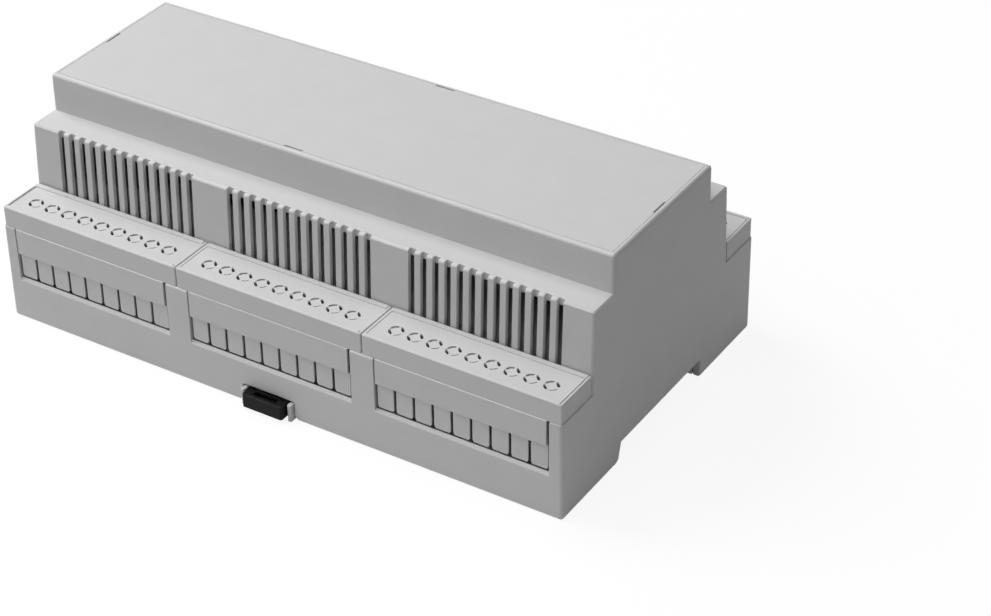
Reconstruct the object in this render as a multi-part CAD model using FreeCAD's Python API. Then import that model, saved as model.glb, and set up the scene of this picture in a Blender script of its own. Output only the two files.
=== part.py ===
import FreeCAD, Part
import math
import os

# DIN rail enclosure, nine modules long: a stepped housing moulding, a base plate with the rail
# recess, a flush top panel, six terminal guards and a sprung rail clip.
# Millimetres. X runs along the enclosure, -Y is the clip side, +Z points away from the rail.
# The origin is the centre of the rail seat. Heights are given from the feet.

# Envelope of the housing
LENGTH = 159.5
DEPTH = 90.0
HEIGHT = 58.0
FACE_DEPTH = 45.0
WALL = 2.0
MID_WALL = 1.5
END_DRAFT = 0.4
FACE_DRAFT = 0.1
HOOD_EDGE_RADIUS = 0.9
SHOULDER_CHAMFER = 0.4
BASE_EDGE_RADIUS = 0.8

# Steps of the housing
GUARD_SEAT_HEIGHT = 26.2
SHOULDER_HEIGHT = 48.0
SHOULDER_DEPTH = 61.6
SEAT_DEPTH = 63.6
MID_WALL_DROP = 4.0

# Rail recess, for a 35 mm rail with 1 mm flanges
RAIL_WIDTH = 35.0
RAIL_FLANGE = 1.0
RAIL_RECESS = 5.0
RECESS_REAR = 19.7
RECESS_FRONT = 18.7
RECESS_FLARE = 1.5
FOOT_CHAMFER = 1.0
RAIL_PLAY = 0.3
HOOK_GRIP = 1.5
HOOK_WIDTH = 14.0
HOOK_THICKNESS = 0.8
HOOK_COUNT = 3
HOOK_PITCH = 60.0
HOOK_SLOPE = 2.2
HOOK_FOOT_GAP = 0.3
HOOK_WINDOW_GAP = 0.2

# Terminal places
GUARDS_PER_SIDE = 3
TERMINAL_PITCH = 5.12
END_INSET = 0.45
GUARD_GAP = 0.25
POST_WIDTH = 6.45
SILL_HEIGHT = 11.4
SILL_CHAMFER = 0.65
SILL_LAND = 0.2
SILL_FALL = 1.6

# Terminal guard
GUARD_TOP_HEIGHT = 31.8
GUARD_WALL = 1.0
BAND_INSET = 0.3
GUARD_REAR_GAP = 0.15
RIM_FRONT = 1.0
RIM_REAR = 1.3
RIM_SIDE = 0.7
RIM_HEIGHT = 0.35
GUARD_CHAMFER = 0.3
PLATE_GAP = 0.4
PLATE_HEIGHT = 6.85
PLATE_THICKNESS = 1.6
TAB_RECESS = 0.6
TAB_THICKNESS = 0.5
TAB_SLOT = 0.7
TAB_SILL_GAP = 0.55
KNOCKOUT_RADIUS = 1.7
KNOCKOUT_GROOVE = 0.5
KNOCKOUT_BRIDGE = 0.7
KNOCKOUT_SETBACK = 5.9

# Pegs of a guard and the sockets that they drop into
PEG_WIDTH = 1.8
PEG_DEPTH = 3.0
PEG_LENGTH = 4.4
PEG_LEAD = 0.8
PEG_INSET = 3.0
PEG_SETBACK = 5.4
PEG_GAP = 0.2
SOCKET_BORDER = 1.0
SOCKET_THICKNESS = 1.6
POST_RIB = 1.5

# Vents in the mid walls
VENT_BANKS = 3
VENT_END_MARGIN = 8.25
VENT_BANK_GAP = 10.0
VENT_PITCH = 3.25
VENT_WIDTH = 1.6
VENT_FOOT_HEIGHT = 29.8
VENT_NOTCH = 1.3

# Top panel
PANEL_THICKNESS = 1.8
PANEL_RIM = 1.2
PANEL_GAP = 0.1
PRY_LENGTH = 5.3
PRY_WIDTH = 0.45
PRY_DEPTH = 1.0
PRY_SHIFT = 7.3
TONGUE_WIDTH = 8.0
TONGUE_THICKNESS = 1.2
TONGUE_LENGTH = 6.0
TONGUE_LEAD = 0.5
TONGUE_GAP = 0.15

# Base plate
FLOOR = 2.0
PLATE_SIDE_GAP = 0.2
BOSS_DIAMETER = 6.0
BOSS_BORE = 2.2
BOSS_DEPTH = 6.0
BOSS_SPACING_X = 124.0
BOSS_SPACING_Y = 62.0
BOARD_HEIGHT = 8.0
SNAP_WIDTH = 8.0
SNAP_THICKNESS = 1.4
SNAP_BARB = 0.8
SNAP_BARB_HEIGHT = 1.2
SNAP_GAP = 0.2
CATCH_HEIGHT = 6.2
CATCH_THICKNESS = 1.0

# Rail clip and its guide
CLIP_SHIFT = -1.0
CLIP_WIDTH = 11.5
CLIP_HEIGHT = 3.6
CLIP_CLEARANCE = 0.3
CLIP_REACH = 48.0
CLIP_HEAD_LENGTH = 3.4
CLIP_HEAD_CHAMFER = 0.4
CLIP_TOP_CHAMFER = 0.3
CLIP_GRIP = 1.7
CLIP_SHANK_WIDTH = 6.0
CLIP_NOSE_WIDTH = 10.0
CLIP_NOSE_LENGTH = 8.0
CLIP_NOSE_LEAD = 2.0
CLIP_PRY_WIDTH = 6.4
CLIP_PRY_FRONT = 1.2
CLIP_PRY_BACK = 0.6
CLIP_PRY_DEPTH = 1.8
TINE_THICKNESS = 1.0
TINE_LENGTH = 13.0
TINE_HEAD_RADIUS = 0.85
GUIDE_INNER = 6.1
GUIDE_THICKNESS = 1.2
GUIDE_LIP = 0.7
GUIDE_LIP_REACH = 1.0
PASSAGE_RELIEF = 0.4
NOSE_GAP = 0.4
EAR_REACH = 46.3
EAR_HEIGHT = 4.6
NOTCH_GAP = 0.3
NOTCH_RADIUS = 2.0

# Derived values
HALF_DEPTH = DEPTH / 2
HALF_FACE = FACE_DEPTH / 2
HALF_SHOULDER = SHOULDER_DEPTH / 2
HALF_SEAT = SEAT_DEPTH / 2
GUARD_PITCH = (LENGTH - 2 * END_INSET + GUARD_GAP) / GUARDS_PER_SIDE
GUARD_LENGTH = GUARD_PITCH - GUARD_GAP
OPENING_WIDTH = GUARD_PITCH - POST_WIDTH
TERMINALS = int((OPENING_WIDTH - 2 * PLATE_GAP + TAB_SLOT) / TERMINAL_PITCH)
VENT_BANK_PITCH = (LENGTH - 2 * VENT_END_MARGIN + VENT_BANK_GAP) / VENT_BANKS
VENTS_PER_BANK = int((VENT_BANK_PITCH - VENT_BANK_GAP - VENT_WIDTH) / VENT_PITCH) + 1
MID_SLOPE = (HALF_SEAT - HALF_SHOULDER) / (SHOULDER_HEIGHT - GUARD_SEAT_HEIGHT)
LEDGE_HEIGHT = HEIGHT - PANEL_THICKNESS
FLANGE_LEVEL = RAIL_RECESS - RAIL_FLANGE - RAIL_PLAY
HOOK_ROOT = RAIL_WIDTH / 2 + RAIL_PLAY
HOOK_TIP = RAIL_WIDTH / 2 - HOOK_GRIP
NOSE_TIP = -RAIL_WIDTH / 2 + CLIP_GRIP
MARGIN = 2.0
OVERLAP = 0.2


def level(height):
    """Z of a height above the feet."""
    return height - RAIL_RECESS


def box(x0, x1, y0, y1, h0, h1):
    """Box between two corners, with its heights above the feet."""
    corner = FreeCAD.Vector(min(x0, x1), min(y0, y1), level(min(h0, h1)))
    return Part.makeBox(abs(x1 - x0), abs(y1 - y0), abs(h1 - h0), corner)


def prism_x(outline, x0, x1):
    """Closed outline of (y, height) points, extruded from x0 to x1."""
    points = [FreeCAD.Vector(x0, y, level(h)) for y, h in outline]
    face = Part.Face(Part.makePolygon(points + points[:1]))
    return face.extrude(FreeCAD.Vector(x1 - x0, 0, 0))


def prism_y(outline, y0, y1):
    """Closed outline of (x, height) points, extruded from y0 to y1."""
    points = [FreeCAD.Vector(x, y0, level(h)) for x, h in outline]
    face = Part.Face(Part.makePolygon(points + points[:1]))
    return face.extrude(FreeCAD.Vector(0, y1 - y0, 0))


def prism_z(outline, h0, h1):
    """Closed outline of (x, y) points, extruded between two heights."""
    points = [FreeCAD.Vector(x, y, level(h0)) for x, y in outline]
    face = Part.Face(Part.makePolygon(points + points[:1]))
    return face.extrude(FreeCAD.Vector(0, 0, h1 - h0))


def mirrored(outline):
    """Outline closed by its mirror image about y = 0, from bottom to top and back down."""
    return outline + [(-y, h) for y, h in reversed(outline)]


def half_length(height):
    """Half length of the housing at a height: its end faces lean in towards the top."""
    return (LENGTH - END_DRAFT * height / HEIGHT * 2) / 2


def drafted_block(half_y, h0, h1, inset):
    """Block with the end faces' draft, set in from them."""
    low = half_length(h0) - inset
    high = half_length(h1) - inset
    return prism_y([(-low, h0), (low, h0), (high, h1), (-high, h1)], -half_y, half_y)


def mid_wall_y(height):
    """Outer face of the mid wall at a height."""
    return HALF_SEAT - MID_SLOPE * (height - GUARD_SEAT_HEIGHT)


def half_turn(shape):
    """Copy turned to the other long side."""
    turned = shape.copy()
    turned.rotate(FreeCAD.Vector(0, 0, 0), FreeCAD.Vector(0, 0, 1), 180)
    return turned


def both_sides(shapes):
    """The shapes with their copies on the other long side."""
    return shapes + [half_turn(shape) for shape in shapes]


def moved(shape, x, y=0.0, z=0.0):
    """Copy moved along the axes."""
    copy = shape.copy()
    copy.translate(FreeCAD.Vector(x, y, z))
    return copy


def fused(shapes):
    """One shape from several that overlap or share faces."""
    return shapes[0].multiFuse(shapes[1:]).removeSplitter()


def centred(count, pitch):
    """Positions of a centred row."""
    return [(i - (count - 1) / 2) * pitch for i in range(count)]


def edges_where(shape, test):
    """Edges whose end points both meet the test."""
    picked = []
    for edge in shape.Edges:
        if len(edge.Vertexes) == 2 and all(test(vertex.Point) for vertex in edge.Vertexes):
            picked.append(edge)
    return picked


def upright_edges(shape, half_y, h0, h1):
    """Corner edges that rise between two heights at a distance from the middle plane."""
    picked = []
    for edge in shape.Edges:
        if len(edge.Vertexes) != 2:
            continue
        low, high = sorted((vertex.Point for vertex in edge.Vertexes), key=lambda point: point.z)
        spans = abs(low.z - level(h0)) < OVERLAP and abs(high.z - level(h1)) < OVERLAP
        if spans and abs(abs(low.y) - half_y) < OVERLAP:
            picked.append(edge)
    return picked


def long_edges(shape, half_y, height):
    """Edges that run along X at a height and a distance from the middle plane."""
    def on_line(point):
        return abs(abs(point.y) - half_y) < OVERLAP and abs(point.z - level(height)) < OVERLAP
    return [edge for edge in edges_where(shape, on_line) if edge.BoundBox.XLength > WALL]


def housing_form():
    """Solid outer form of the housing, with its rounded edges."""
    profile = mirrored([
        (-HALF_DEPTH, 0),
        (-HALF_DEPTH, GUARD_SEAT_HEIGHT),
        (-HALF_SEAT, GUARD_SEAT_HEIGHT),
        (-HALF_SHOULDER, SHOULDER_HEIGHT),
        (-HALF_FACE - FACE_DRAFT, SHOULDER_HEIGHT),
        (-HALF_FACE, HEIGHT),
    ])
    bar = prism_x(profile, -LENGTH, LENGTH)
    form = bar.common(drafted_block(DEPTH, 0, HEIGHT, 0))
    upper = upright_edges(form, HALF_FACE + FACE_DRAFT, SHOULDER_HEIGHT, HEIGHT)
    middle = upright_edges(form, HALF_SEAT, GUARD_SEAT_HEIGHT, SHOULDER_HEIGHT)
    form = form.makeFillet(HOOD_EDGE_RADIUS, upper + middle)
    lower = upright_edges(form, HALF_DEPTH, 0, GUARD_SEAT_HEIGHT)
    form = form.makeFillet(BASE_EDGE_RADIUS, lower)
    form = form.makeChamfer(SHOULDER_CHAMFER, long_edges(form, HALF_SHOULDER, SHOULDER_HEIGHT))
    form = form.makeFillet(BASE_EDGE_RADIUS, long_edges(form, HALF_DEPTH, 0))
    rim = edges_where(form, lambda point: abs(point.z - level(HEIGHT)) < OVERLAP)
    return form.makeFillet(HOOD_EDGE_RADIUS, rim)


def cavity_form():
    """Inside of the housing: open below, and open upwards beside the mid walls."""
    drop = GUARD_SEAT_HEIGHT - MID_WALL_DROP
    ceiling = SHOULDER_HEIGHT - WALL
    above_seat = GUARD_SEAT_HEIGHT + MARGIN
    half = [
        (-HALF_DEPTH + WALL, -MARGIN),
        (-HALF_DEPTH + WALL, above_seat),
        (-mid_wall_y(above_seat), above_seat),
        (-mid_wall_y(drop), drop),
        (-mid_wall_y(drop) + MID_WALL, drop),
        (-mid_wall_y(ceiling) + MID_WALL, ceiling),
        (-HALF_FACE + WALL, ceiling),
        (-HALF_FACE + WALL, HEIGHT + MARGIN),
    ]
    bar = prism_x(mirrored(half), -LENGTH, LENGTH)
    return bar.common(drafted_block(DEPTH, -MARGIN, HEIGHT + MARGIN, WALL))


def panel_recess():
    """Rebate around the top opening that the top panel drops into."""
    return drafted_block(HALF_FACE - PANEL_RIM, LEDGE_HEIGHT, HEIGHT + MARGIN, PANEL_RIM)


def rail_recess_outline(depth):
    """Section of the rail recess, open towards the feet."""
    return [
        (-RECESS_FRONT - RECESS_FLARE, -MARGIN),
        (-RECESS_FRONT - RECESS_FLARE, 0),
        (-RECESS_FRONT, depth),
        (RECESS_REAR, depth),
        (RECESS_REAR, -MARGIN),
    ]


def end_wall_notch():
    """The rail recess carried through both end walls, with its foot corner broken."""
    corner = -RECESS_FRONT - RECESS_FLARE
    chamfer = prism_x([
        (corner - FOOT_CHAMFER, -MARGIN),
        (corner - FOOT_CHAMFER, 0),
        (corner, FOOT_CHAMFER),
        (corner + FOOT_CHAMFER, 0),
        (corner + FOOT_CHAMFER, -MARGIN),
    ], -LENGTH, LENGTH)
    notch = prism_x(rail_recess_outline(RAIL_RECESS), -LENGTH, LENGTH)
    return fused([notch, chamfer])


def terminal_opening(x):
    """Opening in the front wall for one guard's plate, with a sill bevelled on both sides."""
    half = OPENING_WIDTH / 2
    outside = -HALF_DEPTH - MARGIN
    inside = -HALF_DEPTH + WALL + OVERLAP
    crest = SILL_HEIGHT + SILL_CHAMFER
    return prism_x([
        (outside, SILL_HEIGHT - MARGIN),
        (-HALF_DEPTH + SILL_CHAMFER, crest),
        (-HALF_DEPTH + SILL_CHAMFER + SILL_LAND, crest),
        (inside, crest - SILL_FALL),
        (inside, GUARD_SEAT_HEIGHT + MARGIN),
        (outside, GUARD_SEAT_HEIGHT + MARGIN),
    ], x - half, x + half)


def vent_slots():
    """Slots of every bank, through one mid wall and into the edge of its shoulder."""
    ceiling = SHOULDER_HEIGHT - WALL
    notch_end = -HALF_SHOULDER + VENT_NOTCH
    outline = [
        (-HALF_SEAT - MARGIN, VENT_FOOT_HEIGHT),
        (-mid_wall_y(VENT_FOOT_HEIGHT) + MID_WALL + OVERLAP, VENT_FOOT_HEIGHT),
        (-mid_wall_y(ceiling) + MID_WALL + OVERLAP, ceiling),
        (notch_end, ceiling),
        (notch_end, SHOULDER_HEIGHT + MARGIN),
        (-HALF_SEAT - MARGIN, SHOULDER_HEIGHT + MARGIN),
    ]
    slots = []
    for bank in centred(VENT_BANKS, VENT_BANK_PITCH):
        for offset in centred(VENTS_PER_BANK, VENT_PITCH):
            left = bank + offset - VENT_WIDTH / 2
            slots.append(prism_x(outline, left, left + VENT_WIDTH))
    return slots


def clip_notch():
    """Notch in the foot of the front wall around the clip guide, before its shift along X."""
    half = GUIDE_INNER + GUIDE_THICKNESS + NOTCH_GAP
    outside = -HALF_DEPTH - MARGIN
    inside = -HALF_DEPTH + WALL + OVERLAP
    shapes = [box(-half, half, outside, inside, -MARGIN, RAIL_RECESS)]
    for side in (-1, 1):
        far = side * (half + NOTCH_RADIUS)
        mouth = box(side * (half - OVERLAP), far, outside, inside, -MARGIN, NOTCH_RADIUS)
        centre = FreeCAD.Vector(far, outside - MARGIN, level(NOTCH_RADIUS))
        along = FreeCAD.Vector(0, 1, 0)
        shapes.append(mouth.cut(Part.makeCylinder(NOTCH_RADIUS, WALL + 3 * MARGIN, centre, along)))
    return fused(shapes)


def peg_centre_x():
    """Distance of a peg's centre from the middle of its guard."""
    return GUARD_LENGTH / 2 - PEG_INSET


def peg_centre_y():
    """Y of a peg's centre on the clip side."""
    return -HALF_DEPTH + PEG_SETBACK + PEG_DEPTH / 2 - WALL


def socket_shelf(x0, x1):
    """Shelf beside a post that carries the end of a guard."""
    back = peg_centre_y() + PEG_DEPTH / 2 + PEG_GAP + SOCKET_BORDER
    front = -HALF_DEPTH + WALL - OVERLAP
    return box(x0, x1, front, back, GUARD_SEAT_HEIGHT - SOCKET_THICKNESS, GUARD_SEAT_HEIGHT)


def sockets():
    """Shelves and ribs behind the posts of one long side."""
    edge = peg_centre_x() - PEG_WIDTH / 2 - PEG_GAP - SOCKET_BORDER
    rib_foot = FLOOR + SNAP_GAP
    shapes = []
    for x in centred(GUARDS_PER_SIDE - 1, GUARD_PITCH):
        reach = GUARD_PITCH / 2 - edge
        shelf = socket_shelf(x - reach, x + reach)
        shapes.append(shelf)
        back = shelf.BoundBox.YMax
        front = -HALF_DEPTH + WALL - OVERLAP
        half_rib = POST_RIB / 2
        shapes.append(box(x - half_rib, x + half_rib, front, back, rib_foot, GUARD_SEAT_HEIGHT))
    last = (GUARDS_PER_SIDE - 1) / 2 * GUARD_PITCH
    inner_end = half_length(GUARD_SEAT_HEIGHT) - WALL + OVERLAP
    shapes.append(socket_shelf(last + edge, inner_end))
    shapes.append(socket_shelf(-inner_end, -last - edge))
    return shapes


def socket_holes():
    """Holes in the shelves of one long side for the guards' pegs."""
    half_x = PEG_WIDTH / 2 + PEG_GAP
    half_y = PEG_DEPTH / 2 + PEG_GAP
    y = peg_centre_y()
    low = GUARD_SEAT_HEIGHT - SOCKET_THICKNESS - MARGIN
    holes = []
    for guard in centred(GUARDS_PER_SIDE, GUARD_PITCH):
        for side in (-1, 1):
            x = guard + side * peg_centre_x()
            hole = box(x - half_x, x + half_x, y - half_y, y + half_y, low, GUARD_SEAT_HEIGHT + MARGIN)
            holes.append(hole)
    return holes


def catch_ribs():
    """Ribs inside one long wall that the base plate's snap hooks hold on to."""
    ribs = []
    for x in snap_places():
        half = SNAP_WIDTH / 2
        top = CATCH_HEIGHT + CATCH_THICKNESS
        front = -HALF_DEPTH + WALL
        ribs.append(prism_x([
            (front - OVERLAP, CATCH_HEIGHT - SNAP_BARB),
            (front, CATCH_HEIGHT - SNAP_BARB),
            (front + SNAP_BARB, CATCH_HEIGHT),
            (front + SNAP_BARB, top),
            (front - OVERLAP, top),
        ], x - half, x + half))
    return ribs


def snap_places():
    """X of the snap hooks on a long side: at the middle of each outer guard."""
    last = (GUARDS_PER_SIDE - 1) / 2 * GUARD_PITCH
    return [-last, last]


def make_housing():
    """Stepped shell with end walls, vented mid walls, terminal openings and guard seats."""
    shell = housing_form().cut(cavity_form())
    shell = shell.fuse(both_sides(sockets() + catch_ribs())).removeSplitter()
    cuts = [panel_recess(), end_wall_notch(), moved(clip_notch(), CLIP_SHIFT)]
    openings = [terminal_opening(x) for x in centred(GUARDS_PER_SIDE, GUARD_PITCH)]
    cuts += both_sides(openings + vent_slots() + socket_holes())
    return shell.cut(cuts)


def rail_hook(x):
    """Fixed hook that reaches behind the rear flange of the rail."""
    half = HOOK_WIDTH / 2
    return prism_x([
        (RECESS_REAR + OVERLAP, RAIL_RECESS + OVERLAP),
        (HOOK_ROOT, RAIL_RECESS + OVERLAP),
        (HOOK_ROOT, FLANGE_LEVEL),
        (HOOK_TIP, FLANGE_LEVEL),
        (HOOK_TIP, FLANGE_LEVEL - HOOK_THICKNESS),
        (HOOK_TIP + HOOK_SLOPE, HOOK_FOOT_GAP),
        (RECESS_REAR + OVERLAP, HOOK_FOOT_GAP),
    ], x - half, x + half)


def hook_window(x):
    """Window in the recess roof above a hook, where the mould's core forms the hook's grip."""
    half = HOOK_WIDTH / 2
    tip = HOOK_TIP - HOOK_WINDOW_GAP
    return box(x - half, x + half, tip, HOOK_ROOT, RAIL_RECESS - OVERLAP, RAIL_RECESS + FLOOR + MARGIN)


def boss_places():
    """Centres of the screw bosses."""
    half_x = BOSS_SPACING_X / 2
    half_y = BOSS_SPACING_Y / 2
    return [(-half_x, -half_y), (-half_x, half_y), (half_x, -half_y), (half_x, half_y)]


def board_bosses():
    """Eight-sided screw bosses that carry a circuit board above the roof of the rail recess."""
    sides = 8
    radius = BOSS_DIAMETER / 2 / math.cos(math.pi / sides)
    angles = [math.pi * (2 * i + 1) / sides for i in range(sides)]
    outline = [(radius * math.cos(angle), radius * math.sin(angle)) for angle in angles]
    boss = prism_z(outline, FLOOR - OVERLAP, BOARD_HEIGHT)
    return [moved(boss, x, y) for x, y in boss_places()]


def boss_bores():
    """Blind screw holes in the bosses."""
    foot = FreeCAD.Vector(0, 0, level(BOARD_HEIGHT - BOSS_DEPTH))
    bore = Part.makeCylinder(BOSS_BORE / 2, BOSS_DEPTH + MARGIN, foot)
    return [moved(bore, x, y) for x, y in boss_places()]


def snap_hooks():
    """Hooks on one long edge of the plate that grip the housing's catch ribs."""
    edge = -HALF_DEPTH + WALL + SNAP_BARB + SNAP_GAP
    catch_top = CATCH_HEIGHT + CATCH_THICKNESS + SNAP_GAP
    tip = catch_top + SNAP_BARB_HEIGHT
    half = SNAP_WIDTH / 2
    hooks = []
    for x in snap_places():
        hooks.append(prism_x([
            (edge, FLOOR - OVERLAP),
            (edge, catch_top),
            (edge - SNAP_BARB, catch_top),
            (edge, tip),
            (edge + SNAP_THICKNESS, tip),
            (edge + SNAP_THICKNESS, FLOOR - OVERLAP),
        ], x - half, x + half))
    return hooks


def clip_guide():
    """Tunnel over the rail clip, before its shift: a roof, side rails and ears through the wall."""
    outer = GUIDE_INNER + GUIDE_THICKNESS
    front = -HALF_DEPTH + WALL + PLATE_SIDE_GAP
    inner = -RECESS_FRONT - RECESS_FLARE
    shapes = [box(-outer, outer, front, inner, 0, RAIL_RECESS + FLOOR)]
    radius = GUIDE_THICKNESS / 2
    for side in (-1, 1):
        tip = -EAR_REACH + radius
        shapes.append(box(side * GUIDE_INNER, side * outer, tip, front + OVERLAP, 0, EAR_HEIGHT))
        centre = FreeCAD.Vector(side * (outer - radius), tip, level(0))
        shapes.append(Part.makeCylinder(radius, EAR_HEIGHT, centre))
    return shapes


def clip_passage():
    """Space inside the clip guide, open towards the feet and the wall, with a relief over the nose."""
    ceiling = RAIL_RECESS + PASSAGE_RELIEF
    return box(-GUIDE_INNER, GUIDE_INNER, -EAR_REACH - MARGIN, NOSE_TIP + NOSE_GAP, -MARGIN, ceiling)


def guide_lips():
    """Lips under the clip's edges that keep it in the guide."""
    lip = GUIDE_INNER - GUIDE_LIP_REACH
    front = -HALF_DEPTH + WALL + PLATE_SIDE_GAP
    back = -RECESS_FRONT - RECESS_FLARE
    return [box(side * lip, side * (GUIDE_INNER + OVERLAP), front, back, 0, GUIDE_LIP) for side in (-1, 1)]


def make_base_plate():
    """Floor folded around the rail recess, with rail hooks, clip guide, bosses and snap hooks."""
    edge = HALF_DEPTH - WALL - PLATE_SIDE_GAP
    front = RECESS_FRONT
    foot = front + RECESS_FLARE
    roof = RAIL_RECESS + FLOOR
    half = half_length(FLOOR) - WALL - PLATE_SIDE_GAP
    plate = prism_x([
        (-edge, 0),
        (-edge, FLOOR),
        (-foot - FLOOR, FLOOR),
        (-front - FLOOR, roof),
        (RECESS_REAR + FLOOR, roof),
        (RECESS_REAR + FLOOR, FLOOR),
        (edge, FLOOR),
        (edge, 0),
        (RECESS_REAR, 0),
        (RECESS_REAR, RAIL_RECESS),
        (-front, RAIL_RECESS),
        (-foot, 0),
    ], -half, half)
    hooks = centred(HOOK_COUNT, HOOK_PITCH)
    guide = [moved(shape, CLIP_SHIFT) for shape in clip_guide()]
    lips = [moved(shape, CLIP_SHIFT) for shape in guide_lips()]
    added = [rail_hook(x) for x in hooks] + board_bosses() + both_sides(snap_hooks())
    plate = fused([plate] + added + guide)
    cuts = boss_bores() + [hook_window(x) for x in hooks]
    plate = plate.cut(cuts + [moved(clip_passage(), CLIP_SHIFT)])
    return fused([plate] + lips)


def pry_slots():
    """Shallow slots on the four edges of the top panel for a screwdriver's tip."""
    half = PRY_LENGTH / 2
    low = HEIGHT - PRY_DEPTH
    high = HEIGHT + MARGIN
    panel_x = half_length(HEIGHT) - PANEL_RIM - PANEL_GAP
    panel_y = HALF_FACE - PANEL_RIM - PANEL_GAP
    slots = []
    for side in (-1, 1):
        near_x = side * (panel_x - PRY_WIDTH)
        far_x = side * (panel_x + PRY_WIDTH)
        slots.append(box(near_x, far_x, -half, half, low, high))
        centre = side * PRY_SHIFT
        near_y = side * (panel_y - PRY_WIDTH)
        far_y = side * (panel_y + PRY_WIDTH)
        slots.append(box(centre - half, centre + half, near_y, far_y, low, high))
    return slots


def panel_tongues():
    """Tongues under the top panel that locate it between the upper walls."""
    face = -HALF_FACE + WALL + TONGUE_GAP
    half = TONGUE_WIDTH / 2
    foot = LEDGE_HEIGHT - TONGUE_LENGTH
    tongues = []
    for x in centred(VENT_BANKS, VENT_BANK_PITCH):
        tongues.append(prism_x([
            (face, LEDGE_HEIGHT + OVERLAP),
            (face, foot + TONGUE_LEAD),
            (face + TONGUE_LEAD, foot),
            (face + TONGUE_THICKNESS, foot),
            (face + TONGUE_THICKNESS, LEDGE_HEIGHT + OVERLAP),
        ], x - half, x + half))
    return tongues


def make_top_panel():
    """Flush panel that closes the top opening."""
    inset = PANEL_RIM + PANEL_GAP
    plate = drafted_block(HALF_FACE - inset, LEDGE_HEIGHT, HEIGHT, inset)
    plate = plate.cut(pry_slots())
    return fused([plate] + both_sides(panel_tongues()))


def knockout_slot():
    """One slot of a knock-out, bent once to follow the circle between two bridges."""
    inner = KNOCKOUT_RADIUS - KNOCKOUT_GROOVE / 2
    outer = KNOCKOUT_RADIUS + KNOCKOUT_GROOVE / 2
    margin = math.asin(KNOCKOUT_BRIDGE / 2 / KNOCKOUT_RADIUS)
    angles = [margin, math.pi / 4, math.pi / 2 - margin]
    outline = [(outer * math.cos(angle), outer * math.sin(angle)) for angle in angles]
    outline += [(inner * math.cos(angle), inner * math.sin(angle)) for angle in reversed(angles)]
    return prism_z(outline, GUARD_TOP_HEIGHT - GUARD_WALL - MARGIN, GUARD_TOP_HEIGHT + MARGIN)


def knockouts():
    """Slots of the row of knock-outs in one guard."""
    slot = knockout_slot()
    y = -HALF_DEPTH + KNOCKOUT_SETBACK
    slots = []
    for x in centred(TERMINALS, TERMINAL_PITCH):
        for quarter in range(4):
            turned = slot.copy()
            turned.rotate(FreeCAD.Vector(0, 0, 0), FreeCAD.Vector(0, 0, 1), 90 * quarter)
            slots.append(moved(turned, x, y))
    return slots


def guard_peg(side):
    """Peg under one end of a guard, with a lead-in at its tip."""
    x = side * peg_centre_x()
    y = peg_centre_y()
    half_x = PEG_WIDTH / 2
    half_y = PEG_DEPTH / 2
    foot = GUARD_SEAT_HEIGHT - PEG_LENGTH
    roof = GUARD_TOP_HEIGHT - GUARD_WALL
    peg = box(x - half_x, x + half_x, y - half_y, y + half_y, foot, roof)
    ends = [edge for edge in peg.Edges if edge.BoundBox.ZMax < level(foot) + OVERLAP]
    tips = [edge for edge in ends if edge.BoundBox.XLength > OVERLAP]
    return peg.makeChamfer(PEG_LEAD, tips)


def guard_tabs():
    """Row of break-out tabs below the guard's plate, one to a terminal."""
    outer = -HALF_DEPTH + TAB_RECESS
    back = outer + TAB_THICKNESS
    foot = SILL_HEIGHT + SILL_CHAMFER + TAB_SILL_GAP
    top = GUARD_SEAT_HEIGHT - PLATE_HEIGHT
    half = (TERMINAL_PITCH - TAB_SLOT) / 2
    return [
        box(x - half, x + half, outer, back, foot, top + OVERLAP)
        for x in centred(TERMINALS, TERMINAL_PITCH)
    ]


def make_guard():
    """Terminal guard of the clip side's middle place, resting on the posts."""
    half = GUARD_LENGTH / 2
    front = -HALF_DEPTH + BAND_INSET
    rear = -HALF_SEAT - GUARD_REAR_GAP
    seat = GUARD_SEAT_HEIGHT
    top = GUARD_TOP_HEIGHT
    strip = box(-half, half, front, rear, seat, top)
    crest = [edge for edge in strip.Edges if edge.BoundBox.ZMin > level(top) - OVERLAP]
    seen = [edge for edge in crest if edge.BoundBox.YMin < rear - OVERLAP]
    strip = strip.makeChamfer(GUARD_CHAMFER, seen)
    hollow = box(-half + GUARD_WALL, half - GUARD_WALL, front + GUARD_WALL, rear - GUARD_WALL,
                 seat - MARGIN, top - GUARD_WALL)
    field = box(-half + RIM_SIDE, half - RIM_SIDE, front + RIM_FRONT, rear - RIM_REAR,
                top - RIM_HEIGHT, top + MARGIN)
    half_plate = OPENING_WIDTH / 2 - PLATE_GAP
    plate = box(-half_plate, half_plate, -HALF_DEPTH, -HALF_DEPTH + PLATE_THICKNESS,
                seat - PLATE_HEIGHT, seat)
    strip = strip.cut([hollow, field])
    guard = fused([strip, plate, guard_peg(-1), guard_peg(1)] + guard_tabs())
    return guard.cut(knockouts())


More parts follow.
